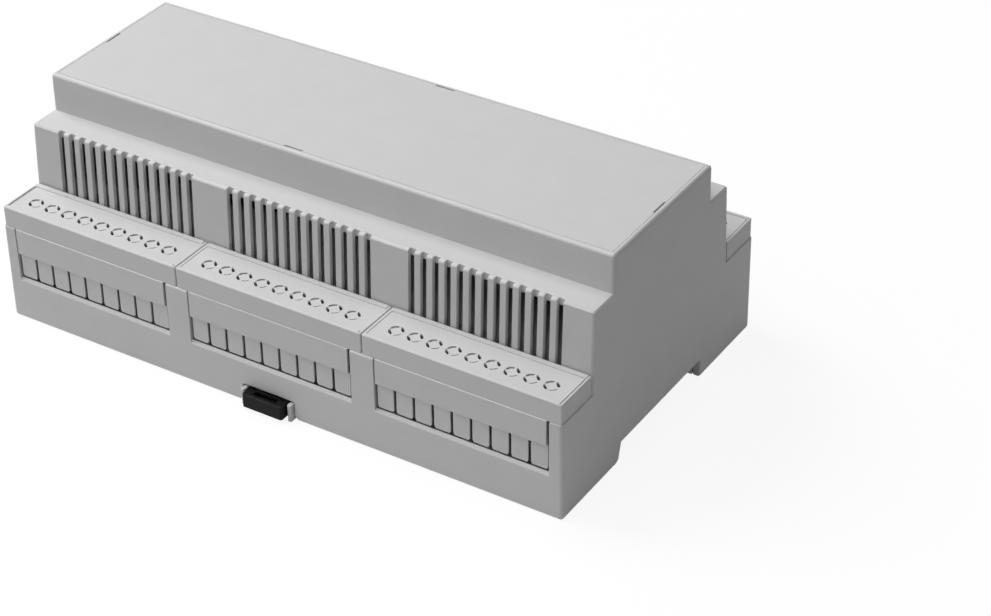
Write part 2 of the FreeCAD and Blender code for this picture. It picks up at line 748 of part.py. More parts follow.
def make_rail_clip():
    """Sprung slide with a handle outside the wall and a nose behind the rail's flange."""
    low = GUIDE_LIP + CLIP_CLEARANCE
    high = low + CLIP_HEIGHT
    half = CLIP_WIDTH / 2
    chamfer = CLIP_HEAD_CHAMFER
    head_back = -CLIP_REACH + CLIP_HEAD_LENGTH
    head = prism_z([
        (-half + chamfer, -CLIP_REACH),
        (half - chamfer, -CLIP_REACH),
        (half, -CLIP_REACH + chamfer),
        (half, head_back),
        (-half, head_back),
        (-half, -CLIP_REACH + chamfer),
    ], low, high)
    head = head.makeChamfer(CLIP_TOP_CHAMFER, edges_where(
        head, lambda point: point.z > level(high) - OVERLAP and point.y < head_back - OVERLAP))
    pry = box(-CLIP_PRY_WIDTH / 2, CLIP_PRY_WIDTH / 2, -CLIP_REACH + CLIP_PRY_FRONT,
              head_back - CLIP_PRY_BACK, high - CLIP_PRY_DEPTH, high + MARGIN)
    nose_top = FLANGE_LEVEL
    nose_back = NOSE_TIP - CLIP_NOSE_LENGTH
    shank_half = CLIP_SHANK_WIDTH / 2
    shank = box(-shank_half, shank_half, head_back - OVERLAP, nose_back + OVERLAP, low, nose_top)
    nose = prism_x([
        (nose_back, low),
        (nose_back, nose_top),
        (NOSE_TIP, nose_top),
        (NOSE_TIP, nose_top - HOOK_THICKNESS),
        (NOSE_TIP - CLIP_NOSE_LEAD, low),
    ], -CLIP_NOSE_WIDTH / 2, CLIP_NOSE_WIDTH / 2)
    shapes = [head.cut(pry), shank, nose]
    end = head_back + TINE_LENGTH
    for side in (-1, 1):
        outer = side * half
        shapes.append(box(outer - side * TINE_THICKNESS, outer, head_back - OVERLAP, end, low, nose_top))
        centre = FreeCAD.Vector(outer - side * TINE_THICKNESS / 2, end, level(low))
        shapes.append(Part.makeCylinder(TINE_HEAD_RADIUS, nose_top - low, centre))
    return moved(fused(shapes), CLIP_SHIFT)


def export(shape, node):
    """Write one node, after checking that it is one sound solid."""
    solids = len(shape.Solids)
    print(node, "solids", solids, "valid", shape.isValid(), "volume", round(shape.Volume, 1))
    shape.exportStep(os.path.join("parts", node + ".step"))


def main():
    os.makedirs("parts", exist_ok=True)
    export(make_housing(), "housing")
    export(make_base_plate(), "base_plate")
    export(make_top_panel(), "top_panel")
    export(make_rail_clip(), "rail_clip")
    guard = make_guard()
    names = ("left", "middle", "right")
    for name, x in zip(names, centred(GUARDS_PER_SIDE, GUARD_PITCH)):
        export(moved(guard, x), "guard_front_" + name)
        export(moved(half_turn(guard), x), "guard_back_" + name)


main()
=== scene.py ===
"""Dresses a nine-module rail enclosure: light grey mouldings and a black sprung rail clip.

Lengths are in metres. X runs along the enclosure, -Y is the clip side and +Z points away from
the rail. Every piece is a copy of its solid with the finest shapes carved in, the moulded edges
rounded and a finish of its own.
"""

import logging
import math
from dataclasses import dataclass, field
from enum import Enum

import bmesh
import bpy
from mathutils import Matrix, Vector
from mathutils.bvhtree import BVHTree
from mathutils.kdtree import KDTree


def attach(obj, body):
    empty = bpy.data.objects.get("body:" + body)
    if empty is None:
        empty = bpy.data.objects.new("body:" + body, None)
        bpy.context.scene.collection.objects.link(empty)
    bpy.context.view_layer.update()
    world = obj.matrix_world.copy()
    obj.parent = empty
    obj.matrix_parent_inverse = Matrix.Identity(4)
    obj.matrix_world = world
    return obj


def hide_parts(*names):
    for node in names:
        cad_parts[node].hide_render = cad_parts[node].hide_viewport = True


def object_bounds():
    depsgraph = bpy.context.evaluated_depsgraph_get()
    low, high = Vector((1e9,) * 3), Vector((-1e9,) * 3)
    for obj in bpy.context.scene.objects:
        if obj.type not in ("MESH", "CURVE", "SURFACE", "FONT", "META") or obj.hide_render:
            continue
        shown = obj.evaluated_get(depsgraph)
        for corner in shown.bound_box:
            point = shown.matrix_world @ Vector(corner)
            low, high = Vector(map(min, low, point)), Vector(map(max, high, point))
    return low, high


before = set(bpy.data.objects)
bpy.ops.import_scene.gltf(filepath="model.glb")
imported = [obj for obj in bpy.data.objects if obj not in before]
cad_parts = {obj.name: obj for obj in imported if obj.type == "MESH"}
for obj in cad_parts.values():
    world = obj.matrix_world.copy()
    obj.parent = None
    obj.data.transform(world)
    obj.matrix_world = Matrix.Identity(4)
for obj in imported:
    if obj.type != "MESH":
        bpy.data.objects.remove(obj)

CAD_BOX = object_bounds()
MILLIMETRE = 0.001
WHITE = (1.0, 1.0, 1.0, 1.0)
# The edge band places the painted highlight and the lower roughness of the rounded edges.
EDGE_BAND = "edge_band"  # Face attribute for the finishes, 1 on the rounded edges.
EDGE_WEIGHT = "bevel_weight_edge"  # Edge attribute with the radius in millimetres.
ROUNDED_FACES = 1  # Material index that marks the faces of a rounding while it is made.

Box = tuple[Vector, Vector]
Run = list[bmesh.types.BMEdge]

log = logging.getLogger("enclosure")


class Slot(Enum):
    """Material slots of the record."""

    SHELL = "light_grey_shell"
    BASE = "light_grey_base"
    PANEL = "light_grey_panel"
    GUARD = "light_grey_guard"
    CLIP = "black_clip"


class Side(Enum):
    """Long sides of the enclosure; the rail clip is at the front."""

    FRONT = "front"
    BACK = "back"


class Place(Enum):
    """Places of the guards along a long side."""

    LEFT = "left"
    MIDDLE = "middle"
    RIGHT = "right"


def box_of(node: str) -> Box:
    """Give the box of a solid.

    Args:
        node: Name of the solid.

    Returns:
        Its lower and its upper corner.
    """
    points = [vertex.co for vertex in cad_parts[node].data.vertices]
    low, high = (Vector([pick(point[axis] for point in points) for axis in range(3)])
                 for pick in (min, max))
    return low, high


def inside(box: Box, point: Vector, margin: float) -> bool:
    """Tell whether a point lies in a box.

    Args:
        box: Lower and upper corner.
        point: The point.
        margin: Width by which the box is widened.

    Returns:
        True inside the widened box.
    """
    return all(low - margin <= value <= high + margin
               for low, value, high in zip(box[0], point, box[1]))


def mesh_of(name: str, surface: bmesh.types.BMesh) -> bpy.types.Mesh:
    """Copy a surface to a new mesh.

    Args:
        name: Name of the mesh.
        surface: The surface, which stays.

    Returns:
        The mesh.
    """
    mesh = bpy.data.meshes.new(name)
    surface.to_mesh(mesh)
    return mesh


def add_object(name: str, data: bpy.types.ID) -> bpy.types.Object:
    """Add an object to the scene.

    Args:
        name: Name of the object.
        data: Its mesh, lamp or camera.

    Returns:
        The object.
    """
    added = bpy.data.objects.new(name, data)
    bpy.context.scene.collection.objects.link(added)
    return added


def add_node(tree: bpy.types.NodeTree, kind: str, inputs: dict[str | int, object] | None = None,
             **settings: object) -> bpy.types.Node:
    """Add a shader node.

    Args:
        tree: Node tree of the material or world.
        kind: Type name of the node.
        inputs: Value of each input socket, or the output socket that feeds it, by name or number.
        **settings: Attributes of the node itself.

    Returns:
        The new node.
    """
    node = tree.nodes.new(kind)
    for name, value in settings.items():
        setattr(node, name, value)
    for name, value in (inputs or {}).items():
        if isinstance(value, bpy.types.NodeSocket):
            tree.links.new(value, node.inputs[name])
        else:
            node.inputs[name].default_value = value
    return node


def grey_colour(brightness: float) -> tuple[float, float, float, float]:
    """Give the opaque grey of a linear brightness."""
    return (brightness, brightness, brightness, 1.0)


@dataclass(frozen=True)
class MouldedPlastic:
    """Finish of a moulding: fine spark-eroded grain, slight mottling, and polished edges with a
    painted highlight.

    Attributes:
        name: Name of the material.
        grey: Linear brightness of the plastic.
        roughness: Roughness between the grains.
        mottling: Relative change of brightness over the surface.
        mottle_size: Length of the lighter and darker patches.
        haze: Change of roughness over the surface, up and down.
        haze_size: Length of the duller patches.
        painted_edge_highlight: Relative lightening of the colour on the rounded edges, a painted
            highlight.
        edge_polish: Fall of roughness on the rubbed edges.
        sheen: Strength of its mirror-like reflection, 0.5 for a common plastic.
        grain_size: Width of a grain.
        grain_depth: Height of the grains.
        wave_size: Length of the faint waves that the mould's cooling leaves.
        wave_depth: Height of those waves.
        fineness: Strength of each finer layer of a pattern beside the layer before it.
        weak: Value of a pattern that counts as weak.
        strong: Value of a pattern that counts as strong.
    """

    name: str
    grey: float
    roughness: float = 0.5
    mottling: float = 0.03
    mottle_size: float = 9 * MILLIMETRE
    haze: float = 0.05
    haze_size: float = 2.5 * MILLIMETRE
    painted_edge_highlight: float = 0.1
    edge_polish: float = 0.12
    sheen: float = 0.5
    grain_size: float = 0.32 * MILLIMETRE
    grain_depth: float = 0.014 * MILLIMETRE
    wave_size: float = 22 * MILLIMETRE
    wave_depth: float = 0.05 * MILLIMETRE
    fineness: float = 0.55
    weak: float = 0.3
    strong: float = 0.7

    def noise(self, tree: bpy.types.NodeTree, size: float, layers: int) -> bpy.types.NodeSocket:
        """Add a noise pattern that is fixed to the object.

        Args:
            tree: Node tree of the material.
            size: Length of one patch of the pattern.
            layers: Number of finer layers.

        Returns:
            The socket of the pattern.
        """
        place = add_node(tree, "ShaderNodeTexCoord")
        noise = add_node(tree, "ShaderNodeTexNoise",
                         {"Vector": place.outputs["Object"], "Scale": 1 / size,
                          "Detail": layers, "Roughness": self.fineness})
        return noise.outputs["Fac"]

    def varied(self, tree: bpy.types.NodeTree, pattern: bpy.types.NodeSocket, middle: float,
               change: float) -> bpy.types.NodeSocket:
        """Vary a value with a pattern.

        Args:
            tree: Node tree of the material.
            pattern: Socket of the pattern.
            middle: Middle of the value.
            change: How far it goes to either side.

        Returns:
            The socket of the value.
        """
        value = add_node(tree, "ShaderNodeMapRange",
                         {"Value": pattern, "From Min": self.weak, "From Max": self.strong,
                          "To Min": middle - change, "To Max": middle + change})
        return value.outputs["Result"]

    def edge_highlight_and_polish(self, tree: bpy.types.NodeTree, value: bpy.types.NodeSocket,
               change: float) -> bpy.types.NodeSocket:
        """Change a value on the rounded edges: a painted highlight in the colour, a polish in the
        roughness.

        Args:
            tree: Node tree of the material.
            value: Socket of the value elsewhere.
            change: What is added to it on the edges.

        Returns:
            The socket of the value everywhere.
        """
        edge = add_node(tree, "ShaderNodeAttribute", attribute_name=EDGE_BAND)
        total = add_node(tree, "ShaderNodeMath", {0: edge.outputs["Fac"], 1: change, 2: value},
                         operation="MULTIPLY_ADD")
        return total.outputs["Value"]

    def material(self) -> bpy.types.Material:
        """Make the material, or give the one that is already made.

        Returns:
            The material.
        """
        made = bpy.data.materials.get(self.name)
        if made:
            return made
        material = bpy.data.materials.new(self.name)
        material.use_nodes = True
        tree = material.node_tree
        shader = tree.nodes["Principled BSDF"]
        shader.inputs["Specular IOR Level"].default_value = self.sheen

        mottle = self.varied(tree, self.noise(tree, self.mottle_size, layers=3),
                             1.0, self.mottling / 2)
        # Painted highlight: the colour is made lighter on the rounded edges.
        tint = add_node(tree, "ShaderNodeMix",
                        {"Factor": 1.0, "A": grey_colour(self.grey),
                         "B": self.edge_highlight_and_polish(tree, mottle, self.painted_edge_highlight)},
                        data_type="RGBA", blend_type="MULTIPLY")
        tree.links.new(tint.outputs["Result"], shader.inputs["Base Color"])

        haze = self.varied(tree, self.noise(tree, self.haze_size, layers=4),
                           self.roughness, self.haze)
        tree.links.new(self.edge_highlight_and_polish(tree, haze, -self.edge_polish), shader.inputs["Roughness"])

        waves = add_node(tree, "ShaderNodeBump",
                         {"Height": self.noise(tree, self.wave_size, layers=1),
                          "Distance": self.wave_depth})
        grain = add_node(tree, "ShaderNodeBump",
                         {"Height": self.noise(tree, self.grain_size, layers=2),
                          "Distance": self.grain_depth, "Normal": waves.outputs["Normal"]})
        tree.links.new(grain.outputs["Normal"], shader.inputs["Normal"])
        return material


@dataclass
class Cutters:
    """Simple solids that are taken out of the copy of a piece.

    Attributes:
        disc_sides: Number of sides of a disc.
        solids: The solids.
    """

    disc_sides: int = 40
    solids: bmesh.types.BMesh = field(default_factory=bmesh.new)

    def block(self, size: tuple[float, float, float], place: Vector,
              turn: Matrix | None = None) -> None:
        """Add a block.

        Args:
            size: Its three sides.
            place: Its centre.
            turn: Its rotation, which may stretch it too.
        """
        placed = Matrix.Translation(place) @ (turn or Matrix.Identity(4))
        bmesh.ops.create_cube(self.solids, size=1, matrix=placed @ Matrix.Diagonal((*size, 1)))

    def disc(self, radius: float, thickness: float, place: Vector) -> None:
        """Add a disc that lies flat.

        Args:
            radius: Its radius.
            thickness: Its height.
            place: Its centre.
        """
        bmesh.ops.create_cone(self.solids, cap_ends=True, segments=self.disc_sides, radius1=radius,
                              radius2=radius, depth=thickness, matrix=Matrix.Translation(place))

    def taken_from(self, skin: bmesh.types.BMesh) -> bmesh.types.BMesh:
        """Take the solids out of a surface.

        Args:
            skin: Surface of the piece, which is used up, as the solids are.

        Returns:
            The surface that is left.
        """
        piece, solids = (add_object(name, mesh_of(name, surface))
                         for name, surface in (("carved_piece", skin), ("cutters", self.solids)))
        skin.free()
        self.solids.free()
        carving = piece.modifiers.new("carving", "BOOLEAN")
        carving.operation = "DIFFERENCE"
        carving.solver = "EXACT"
        carving.use_self = True
        carving.object = solids
        left = bmesh.new()
        left.from_object(piece, bpy.context.evaluated_depsgraph_get())
        for helper in (piece, solids):
            bpy.data.meshes.remove(helper.data)
        return left


@dataclass
class Moulding:
    """One moulded piece: a copy of its solid with rounded edges and a finish.

    Attributes:
        name: Name of the piece.
        node: Name of the solid.
        body: Name of the body that it moves with.
        slot: Material slot of the record; not used.
        finish: Finish of its surface.
        edge_radius: Radius that the mould gives to an edge with room for it.
        joint_radius: Radius at the joint with a piece that lies flush in this one.
        joint_reach: Distance from that piece within which an edge counts as part of the joint.
        flush_node: Name of the solid that lies flush in this one.
        same_point: Distance below which two points of the solid are one.
        shortest_edge: Length below which an edge of the carved copy is closed up.
        flat: Turn between two faces below which they are joined.
        crease: Least turn between two faces that counts as an edge.
        corner: Least turn in a face's outline that counts as a corner.
        share: Part of a face's free width that the rounding of one edge takes.
        segments: Number of faces across a rounded edge.
        rounding_depth: Distance of a good rounding from the solid, as a share of its radius.
        rounding_slack: Distance that is allowed beyond that.
        tries: Number of times that a bad corner's edges are made finer.
        finer: Factor on their radius each time.
        evenness: Weight of the large faces in the shading of their edges, at most 100.
    """

    name: str
    node: str
    body: str
    slot: Slot
    finish: MouldedPlastic
    edge_radius: float = 0.7 * MILLIMETRE
    joint_radius: float = 0.02 * MILLIMETRE
    joint_reach: float = 0.3 * MILLIMETRE
    flush_node: str | None = None
    same_point: float = 0.001 * MILLIMETRE
    shortest_edge: float = 0.02 * MILLIMETRE
    flat: float = math.radians(0.5)
    crease: float = math.radians(32)
    corner: float = math.radians(50)
    share: float = 0.22
    segments: int = 3
    rounding_depth: float = 0.5
    rounding_slack: float = 0.005 * MILLIMETRE
    tries: int = 3
    finer: float = 0.5
    evenness: int = 100

    def cutters(self) -> Cutters | None:
        """Give the solids that are taken out of the copy, if there are any."""
        return None

    def skin(self) -> bmesh.types.BMesh:
        """Copy the solid's surface and carve it, with its triangles joined to flat faces.

        Returns:
            The surface, its points and edges numbered.
        """
        skin = bmesh.new()
        skin.from_mesh(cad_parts[self.node].data)
        bmesh.ops.remove_doubles(skin, verts=skin.verts, dist=self.same_point)
        cutters = self.cutters()
        if cutters:
            skin = cutters.taken_from(skin)
        bmesh.ops.remove_doubles(skin, verts=skin.verts, dist=self.shortest_edge)
        bmesh.ops.dissolve_limit(skin, angle_limit=self.flat, verts=skin.verts, edges=skin.edges)
        skin.edges.index_update()
        skin.verts.index_update()
        return skin

    def stretches(self, face: bmesh.types.BMFace) -> list[int]:
        """Number the stretches between the corners of a face's outline.

        Args:
            face: The face.

        Returns:
            The stretch of each of its edges, in the order of its loops.
        """
        numbers = []
        for loop in face.loops:
            before = loop.vert.co - loop.link_loop_prev.vert.co
            after = loop.link_loop_next.vert.co - loop.vert.co
            turned = min(before.length, after.length) > 0 and before.angle(after) > self.corner
            numbers.append((numbers[-1] if numbers else 0) + turned)
        last = numbers[-1]
        return [number % last if last else 0 for number in numbers]

    def free_widths(self, skin: bmesh.types.BMesh) -> list[float]:
        """Measure how far the faces beside each edge reach before something else begins.

        Args:
            skin: Surface of the piece.

        Returns:
            The width of each edge, in the order of the edges.
        """
        widths = [math.inf] * len(skin.edges)
        for face in skin.faces:
            loops = list(face.loops)
            stretch = self.stretches(face)
            for own, loop in enumerate(loops):
                start = loop.vert.co
                line = loop.link_loop_next.vert.co - start
                for other, far in enumerate(loops):
                    if far.vert in loop.edge.verts or line.length == 0:
                        continue
                    # A point further along the edge's own stretch bounds nothing.
                    along = (far.vert.co - start).dot(line) / line.length_squared
                    beyond = not 0 < along < 1
                    if beyond and stretch[own] in (stretch[other], stretch[other - 1]):
                        continue
                    width = (far.vert.co - start - line * min(max(along, 0), 1)).length
                    widths[loop.edge.index] = min(widths[loop.edge.index], width)
                    for edge in (far.edge, loops[other - 1].edge):
                        if not set(edge.verts) & set(loop.edge.verts):
                            widths[edge.index] = min(widths[edge.index], width)
        return widths

    def runs(self, sharp: Run) -> list[Run]:
        """Group the sharp edges that follow one another without a corner.

        Args:
            sharp: The sharp edges.

        Returns:
            The groups.
        """
        waiting = set(sharp)
        runs = []
        for first in sharp:
            if first not in waiting:
                continue
            waiting.remove(first)
            run = [first]
            for edge in run:  # The run grows while it is followed.
                for vert in edge.verts:
                    away = edge.other_vert(vert).co - vert.co
                    for following in vert.link_edges:
                        onward = vert.co - following.other_vert(vert).co
                        if following in waiting and away.angle(onward, 0) < self.corner:
                            waiting.remove(following)
                            run.append(following)
            runs.append(run)
        return runs

    def weigh_edges(self, skin: bmesh.types.BMesh) -> list[Run]:
        """Give each run of sharp edges its radius, in millimetres, as its bevel weight.

        Args:
            skin: Surface of the piece, which is changed.

        Returns:
            The runs of sharp edges.
        """
        weight = skin.edges.layers.float.new(EDGE_WEIGHT)
        widths = self.free_widths(skin)
        joint = box_of(self.flush_node) if self.flush_node else None
        sharp = [edge for edge in skin.edges
                 if len(edge.link_faces) == 2 and abs(edge.calc_face_angle_signed()) > self.crease]
        runs = self.runs(sharp)
        for run in runs:
            radius = min(self.edge_radius, min(widths[edge.index] for edge in run) * self.share)
            if joint and all(inside(joint, vert.co, self.joint_reach)
                             for edge in run for vert in edge.verts):
                radius = min(radius, self.joint_radius)
            for edge in run:
                edge[weight] = radius / MILLIMETRE
        return runs

    def bevelled(self, skin: bmesh.types.BMesh) -> bmesh.types.BMesh:
        """Round a weighted surface and mark the new faces by their material index.

        Args:
            skin: Surface of the piece, which stays.

        Returns:
            The rounded surface.
        """
        plain = mesh_of("plain_surface", skin)
        for _ in range(ROUNDED_FACES + 1):
            plain.materials.append(None)
        helper = add_object("plain_surface", plain)
        bevel = helper.modifiers.new("mould_radius", "BEVEL")
        bevel.limit_method = "WEIGHT"
        bevel.offset_type = "OFFSET"
        bevel.width = MILLIMETRE
        bevel.segments = self.segments
        bevel.profile = 0.5
        bevel.use_clamp_overlap = False
        bevel.material = ROUNDED_FACES
        surface = bmesh.new()
        surface.from_object(helper, bpy.context.evaluated_depsgraph_get())
        bpy.data.meshes.remove(plain)
        return surface

    def bad_corners(self, skin: bmesh.types.BMesh,
                    surface: bmesh.types.BMesh) -> set[bmesh.types.BMVert]:
        """Find the corners at which a rounded surface strays from the one it was made from.

        Args:
            skin: Surface of the piece, weighted.
            surface: The rounded surface.

        Returns:
            The corners of the first surface.
        """
        weight = skin.edges.layers.float[EDGE_WEIGHT]
        skin.verts.ensure_lookup_table()
        corners = KDTree(len(skin.verts))
        for vert in skin.verts:
            corners.insert(vert.co, vert.index)
        corners.balance()
        solid = BVHTree.FromBMesh(skin)
        bad = set()
        for vert in surface.verts:
            corner = skin.verts[corners.find(vert.co)[1]]
            radius = max(edge[weight] for edge in corner.link_edges) * MILLIMETRE
            allowed = self.rounding_depth * radius + self.rounding_slack
            if solid.find_nearest(vert.co)[3] > allowed:
                ends = [end for edge in vert.link_edges for end in edge.verts]
                bad.update(skin.verts[corners.find(end.co)[1]] for end in ends)
        return bad

    def rounded(self, skin: bmesh.types.BMesh, runs: list[Run]) -> bpy.types.Mesh:
        """Round the runs of edges, finer where they don't fit, and note where the roundings are.

        Args:
            skin: Surface of the piece, which is used up.
            runs: Its runs of sharp edges.

        Returns:
            The mesh of the finished piece.
        """
        weight = skin.edges.layers.float[EDGE_WEIGHT]
        surface = self.bevelled(skin)
        for _ in range(self.tries):
            bad = self.bad_corners(skin, surface)
            if not bad:
                break
            log.info("%s: %d corners made finer", self.name, len(bad))
            touched = {edge for corner in bad for edge in corner.link_edges}
            for run in runs:
                if touched.intersection(run):
                    for edge in run:
                        edge[weight] *= self.finer
            surface.free()
            surface = self.bevelled(skin)
        skin.free()
        band = surface.faces.layers.float.new(EDGE_BAND)
        for face in surface.faces:
            face[band] = float(face.material_index == ROUNDED_FACES)
            face.material_index = 0
        mesh = mesh_of(self.name, surface)
        surface.free()
        return mesh

    def build(self) -> bpy.types.Object:
        """Make the piece and let it stand for its solid.

        Returns:
            The piece, riding on its body.
        """
        skin = self.skin()
        mesh = self.rounded(skin, self.weigh_edges(skin))
        mesh.shade_smooth()
        mesh.set_sharp_from_angle(angle=self.corner)
        mesh.materials.append(self.finish.material())
        piece = add_object(self.name, mesh)
        shading = piece.modifiers.new("even_shading", "WEIGHTED_NORMAL")
        shading.keep_sharp = True
        shading.weight = self.evenness
        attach(piece, self.body)
        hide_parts(self.node)
        log.info("%s: %d faces", self.name, len(mesh.polygons))
        return piece


@dataclass
class VentedHousing(Moulding):
    """Housing whose mid walls are thin behind the vents.

    Attributes:
        banks: Number of vent banks on each long side.
        bank_pitch: Distance between their middles.
        bank_width: Width of the thin wall behind a bank.
        foot_level: Lower end of the thin wall.
        shoulder_level: Upper side of the shoulders.
        shoulder_half: Half the depth over the shoulders' edges.
        slope: Outward lean of the mid walls, per unit of height.
        moulded_wall: Wall thickness beside the vents.
        vent_wall: Wall thickness at the vents.
        shoulder_wall: Thickness of the shoulders.
        overcut: Distance that a slab reaches past the wall, into the free space inside.
    """

    banks: int = 3
    bank_pitch: float = 51.0 * MILLIMETRE
    bank_width: float = 42.0 * MILLIMETRE
    foot_level: float = 24.0 * MILLIMETRE
    shoulder_level: float = 43.0 * MILLIMETRE
    shoulder_half: float = 30.8 * MILLIMETRE
    slope: float = 1 / 21.8
    moulded_wall: float = 1.5 * MILLIMETRE
    vent_wall: float = 1.15 * MILLIMETRE
    shoulder_wall: float = 2.0 * MILLIMETRE
    overcut: float = 0.2 * MILLIMETRE

    def cutters(self) -> Cutters:
        """Give the slabs that thin the walls behind the vent banks.

        Returns:
            One slab for each bank.
        """
        cutters = Cutters()
        top = self.shoulder_level - self.shoulder_wall
        middle = (self.foot_level + top) / 2
        depth = self.moulded_wall - self.vent_wall + self.overcut
        outer = self.shoulder_half + (self.shoulder_level - middle) * self.slope
        y = outer - self.vent_wall - depth / 2
        size = (self.bank_width, depth, top - self.foot_level)
        lean = math.atan(self.slope)
        for side in (-1, 1):
            turn = Matrix.Rotation(side * lean, 4, "X")
            for bank in range(self.banks):
                x = (bank - (self.banks - 1) / 2) * self.bank_pitch
                cutters.block(size, Vector((x, side * y, middle)), turn)
        return cutters


@dataclass
class TerminalGuard(Moulding):
    """Guard with sunk knock-outs, flared slots between its tabs and a thin end to its plate.

    Its cutters are drawn for a guard in the middle of the front side, so the guard's front is at
    a negative Y, and are then taken to its own place.

    Attributes:
        side: Long side that it is on.
        count: Number of terminals.
        pitch: Distance between them.
        setback: Distance of the knock-outs from the guard's front.
        rim: Height of the rim round the knock-outs.
        sink: Depth to which the knock-outs are sunk.
        knockout_radius: Radius to the middle of their grooves.
        groove: Width of the grooves.
        side_slot_width: Width of the two slots at the sides of a knock-out.
        side_slot_length: Length of those slots.
        side_slot_angles: Directions of the slots, seen from the knock-out's centre.
        web: Thickness of the strip.
        tab_foot: Level of the tabs' lower edge.
        tab_slot: Width of the slots between the tabs.
        tab_back: Distance of the tabs' middle from the guard's front.
        flare: Widening of a slot at its foot, on each side.
        flare_stretch: Height of the widened foot, as a multiple of its width.
        flare_depth: Depth of the widened foot, right through the tabs.
        plate_half: Half the length of the plate.
        plate_low: Level of its lower edge.
        plate_high: Level of its upper edge.
        plate_wall: Thickness of the plate, and length of its thin end.
        plate_lip: Thickness of the thin end.
        plate_trim: Length taken off that end.
        rim_side: Width of the rim at the guard's ends.
        rim_trim: Height taken off it there.
        overcut: Distance by which a block that crosses the guard is longer than its depth.
    """

    side: Side = Side.FRONT
    count: int = 9
    pitch: float = 5.12 * MILLIMETRE
    setback: float = 5.9 * MILLIMETRE
    rim: float = 0.35 * MILLIMETRE
    sink: float = 0.15 * MILLIMETRE
    knockout_radius: float = 1.7 * MILLIMETRE
    groove: float = 0.5 * MILLIMETRE
    side_slot_width: float = 0.6 * MILLIMETRE
    side_slot_length: float = 1.25 * MILLIMETRE
    side_slot_angles: tuple[float, float] = (math.radians(45), math.radians(225))
    web: float = 0.65 * MILLIMETRE
    tab_foot: float = 7.6 * MILLIMETRE
    tab_slot: float = 0.7 * MILLIMETRE
    tab_back: float = 0.85 * MILLIMETRE
    flare: float = 0.3 * MILLIMETRE
    flare_stretch: float = 2.2
    flare_depth: float = 1.0 * MILLIMETRE
    plate_half: float = 22.85 * MILLIMETRE
    plate_low: float = 14.35 * MILLIMETRE
    plate_high: float = 21.2 * MILLIMETRE
    plate_wall: float = 1.6 * MILLIMETRE
    plate_lip: float = 0.6 * MILLIMETRE
    plate_trim: float = 0.3 * MILLIMETRE
    rim_side: float = 0.7 * MILLIMETRE
    rim_trim: float = 0.18 * MILLIMETRE
    overcut: float = 1.0 * MILLIMETRE

    def sink_knockouts(self, cutters: Cutters, front: float, level: float) -> None:
        """Sink the knock-outs and open the slots at their sides right through the strip.

        Args:
            cutters: Solids to add to.
            front: Distance of the guard's front from the middle of the enclosure.
            level: Level of the strip around the knock-outs.
        """
        slot = (self.side_slot_width, self.side_slot_length, 3 * self.web)
        reach = self.knockout_radius - self.groove / 2
        for number in range(self.count):
            x = (number - (self.count - 1) / 2) * self.pitch
            centre = Vector((x, self.setback - front, level))
            cutters.disc(self.knockout_radius, 2 * self.sink, centre)
            for angle in self.side_slot_angles:
                arm = Vector((math.cos(angle), math.sin(angle), 0)) * reach
                cutters.block(slot, centre + arm, Matrix.Rotation(angle, 4, "Z"))

    def flare_slots(self, cutters: Cutters, front: float) -> None:
        """Widen the feet of the slots between and beside the tabs to a point.

        Args:
            cutters: Solids to add to.
            front: Distance of the guard's front from the middle of the enclosure.
        """
        side = (self.tab_slot / 2 + self.flare) * math.sqrt(2)
        diamond = Matrix.Rotation(math.radians(45), 4, "Y")
        shape = Matrix.Diagonal((1, 1, self.flare_stretch, 1)) @ diamond
        for number in range(self.count + 1):
            x = (number - self.count / 2) * self.pitch
            cutters.block((side, self.flare_depth, side),
                          Vector((x, self.tab_back - front, self.tab_foot)), shape)

    def trim_plate(self, cutters: Cutters, front: float) -> None:
        """Shorten the plate and thin it from behind, by blocks that are centred on its end.

        Args:
            cutters: Solids to add to.
            front: Distance of the guard's front from the middle of the enclosure.
        """
        height = self.plate_high - self.plate_low
        level = (self.plate_high + self.plate_low) / 2
        behind = self.plate_lip + self.plate_wall / 2 - front
        cutters.block((2 * self.plate_trim, 3 * self.plate_wall, height),
                      Vector((self.plate_half, -front, level)))
        cutters.block((2 * self.plate_wall, self.plate_wall, height),
                      Vector((self.plate_half, behind, level)))

    def trim_rim(self, cutters: Cutters, back: float, front: float, half: float,
                 top: float) -> None:
        """Lower the rim at both ends, by blocks that are centred on its outer edges.

        Args:
            cutters: Solids to add to.
            back: Distance of the guard's inner side from the middle of the enclosure.
            front: Distance of its front from there.
            half: Half its length.
            top: Level of the rim.
        """
        size = (2 * self.rim_side, front - back + self.overcut, 2 * self.rim_trim)
        for end in (-1, 1):
            cutters.block(size, Vector((end * half, -(front + back) / 2, top)))

    def cutters(self) -> Cutters:
        """Give the solids that carve the knock-outs, the slots, the plate's end and the rim.

        Returns:
            The solids, in the guard's own place.
        """
        cutters = Cutters()
        low, high = box_of(self.node)
        back, front = sorted((abs(low.y), abs(high.y)))
        self.sink_knockouts(cutters, front, high.z - self.rim)
        self.flare_slots(cutters, front)
        self.trim_plate(cutters, front)
        self.trim_rim(cutters, back, front, (high.x - low.x) / 2, high.z)
        turn = Matrix.Rotation(math.pi if self.side is Side.BACK else 0.0, 4, "Z")
        place = Matrix.Translation(((low.x + high.x) / 2, 0, 0))
        bmesh.ops.transform(cutters.solids, matrix=place @ turn, verts=cutters.solids.verts)
        return cutters


